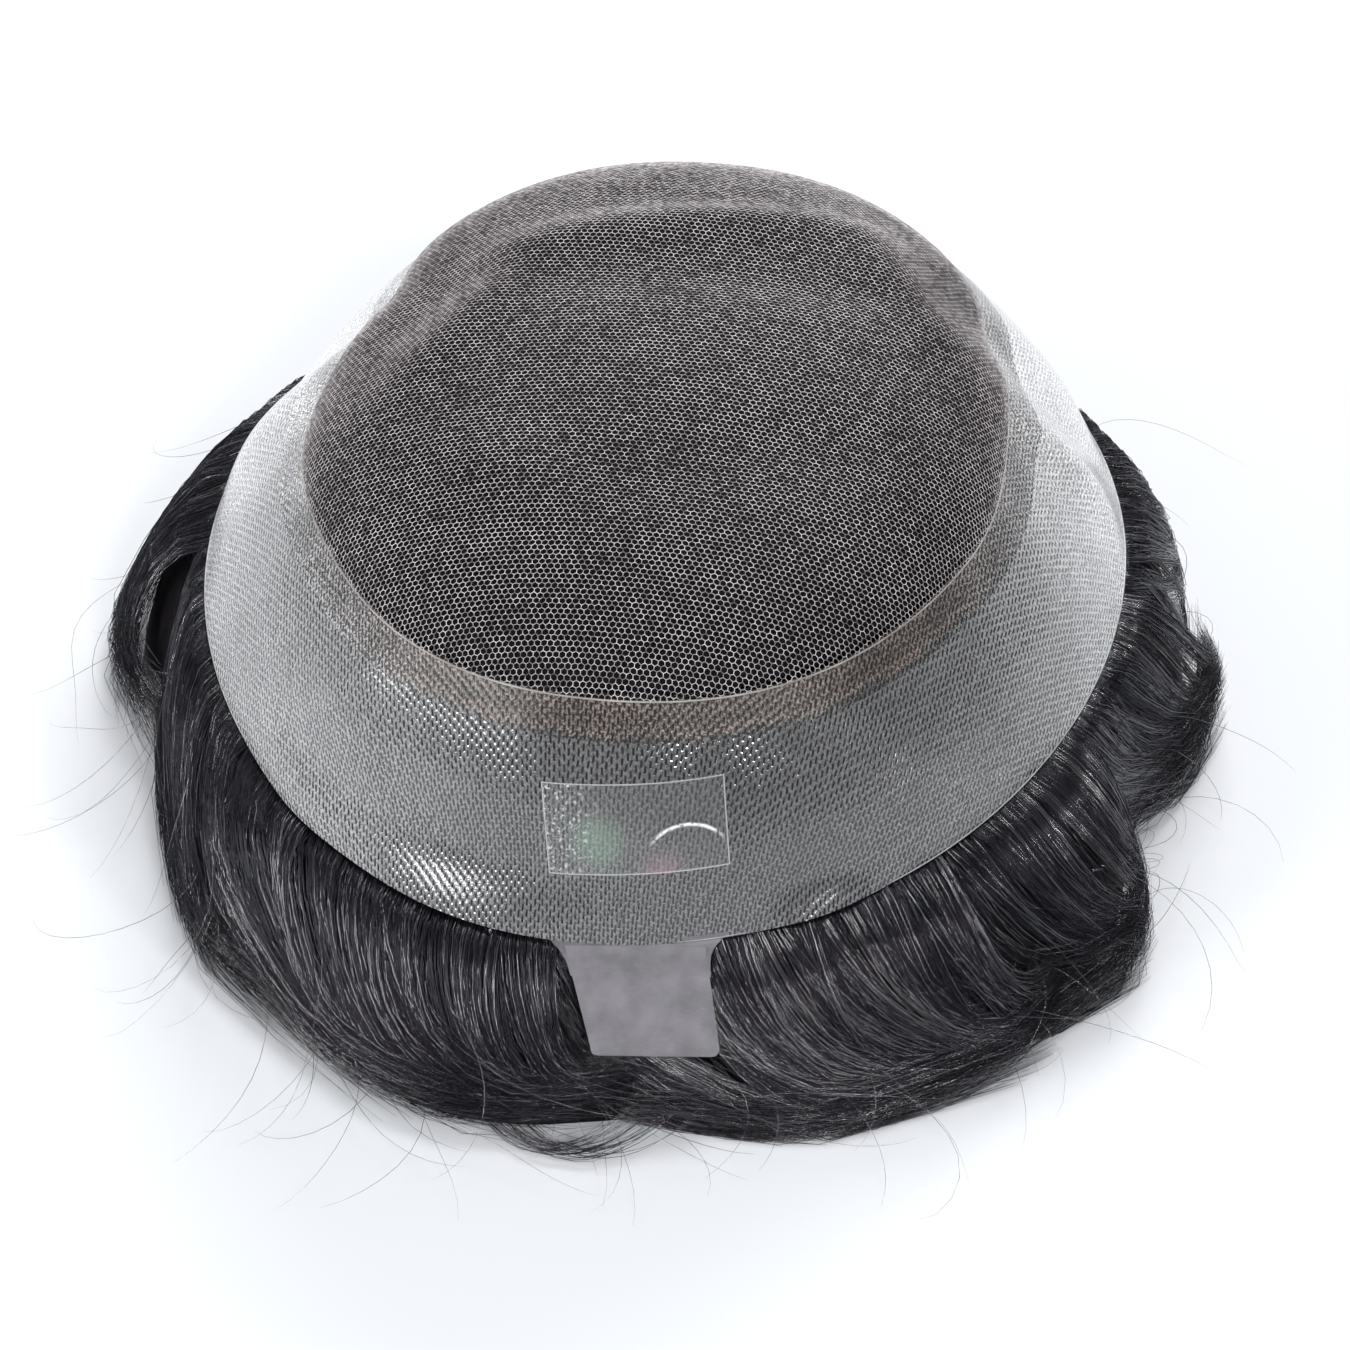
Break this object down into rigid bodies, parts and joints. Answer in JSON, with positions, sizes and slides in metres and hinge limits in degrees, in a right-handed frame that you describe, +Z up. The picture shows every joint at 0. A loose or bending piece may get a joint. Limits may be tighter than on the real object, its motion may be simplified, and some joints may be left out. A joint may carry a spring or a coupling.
{
  "type": "toupee hairpiece",
  "caption": "Toupee turned inside out and standing on its hair: domed net crown, clear skin rim with a pull tab, and short curled dark hair spilling out from under the rim.",
  "frame": {"origin": "on the floor under the middle of the whole piece, hair included", "axes": "+Z up through the crown, -Y towards the front edge with the pull tab, +X to the right seen from the front"},
  "size_m": [0.1786, 0.2106, 0.0755],
  "materials": {
    "net": "fine hexagonal net of beige thread over dark hair",
    "seam": "net margin sunk in clear film, tan",
    "skin": "thin translucent film with rows of hair knots, glossy",
    "film": "bare film, satin, lightly scratched",
    "sticker": "clear glossy film, blank",
    "hair": "off-black human hair, combed, soft sheen"
  },
  "bodies": {
    "root": {"net_crown": "net", "seam_band": "seam", "skin_rim": "skin", "pull_tab": "film", "size_label": "sticker", "crown_hair": "hair", "edge_hair": "hair"}
  },
  "joints": []
}
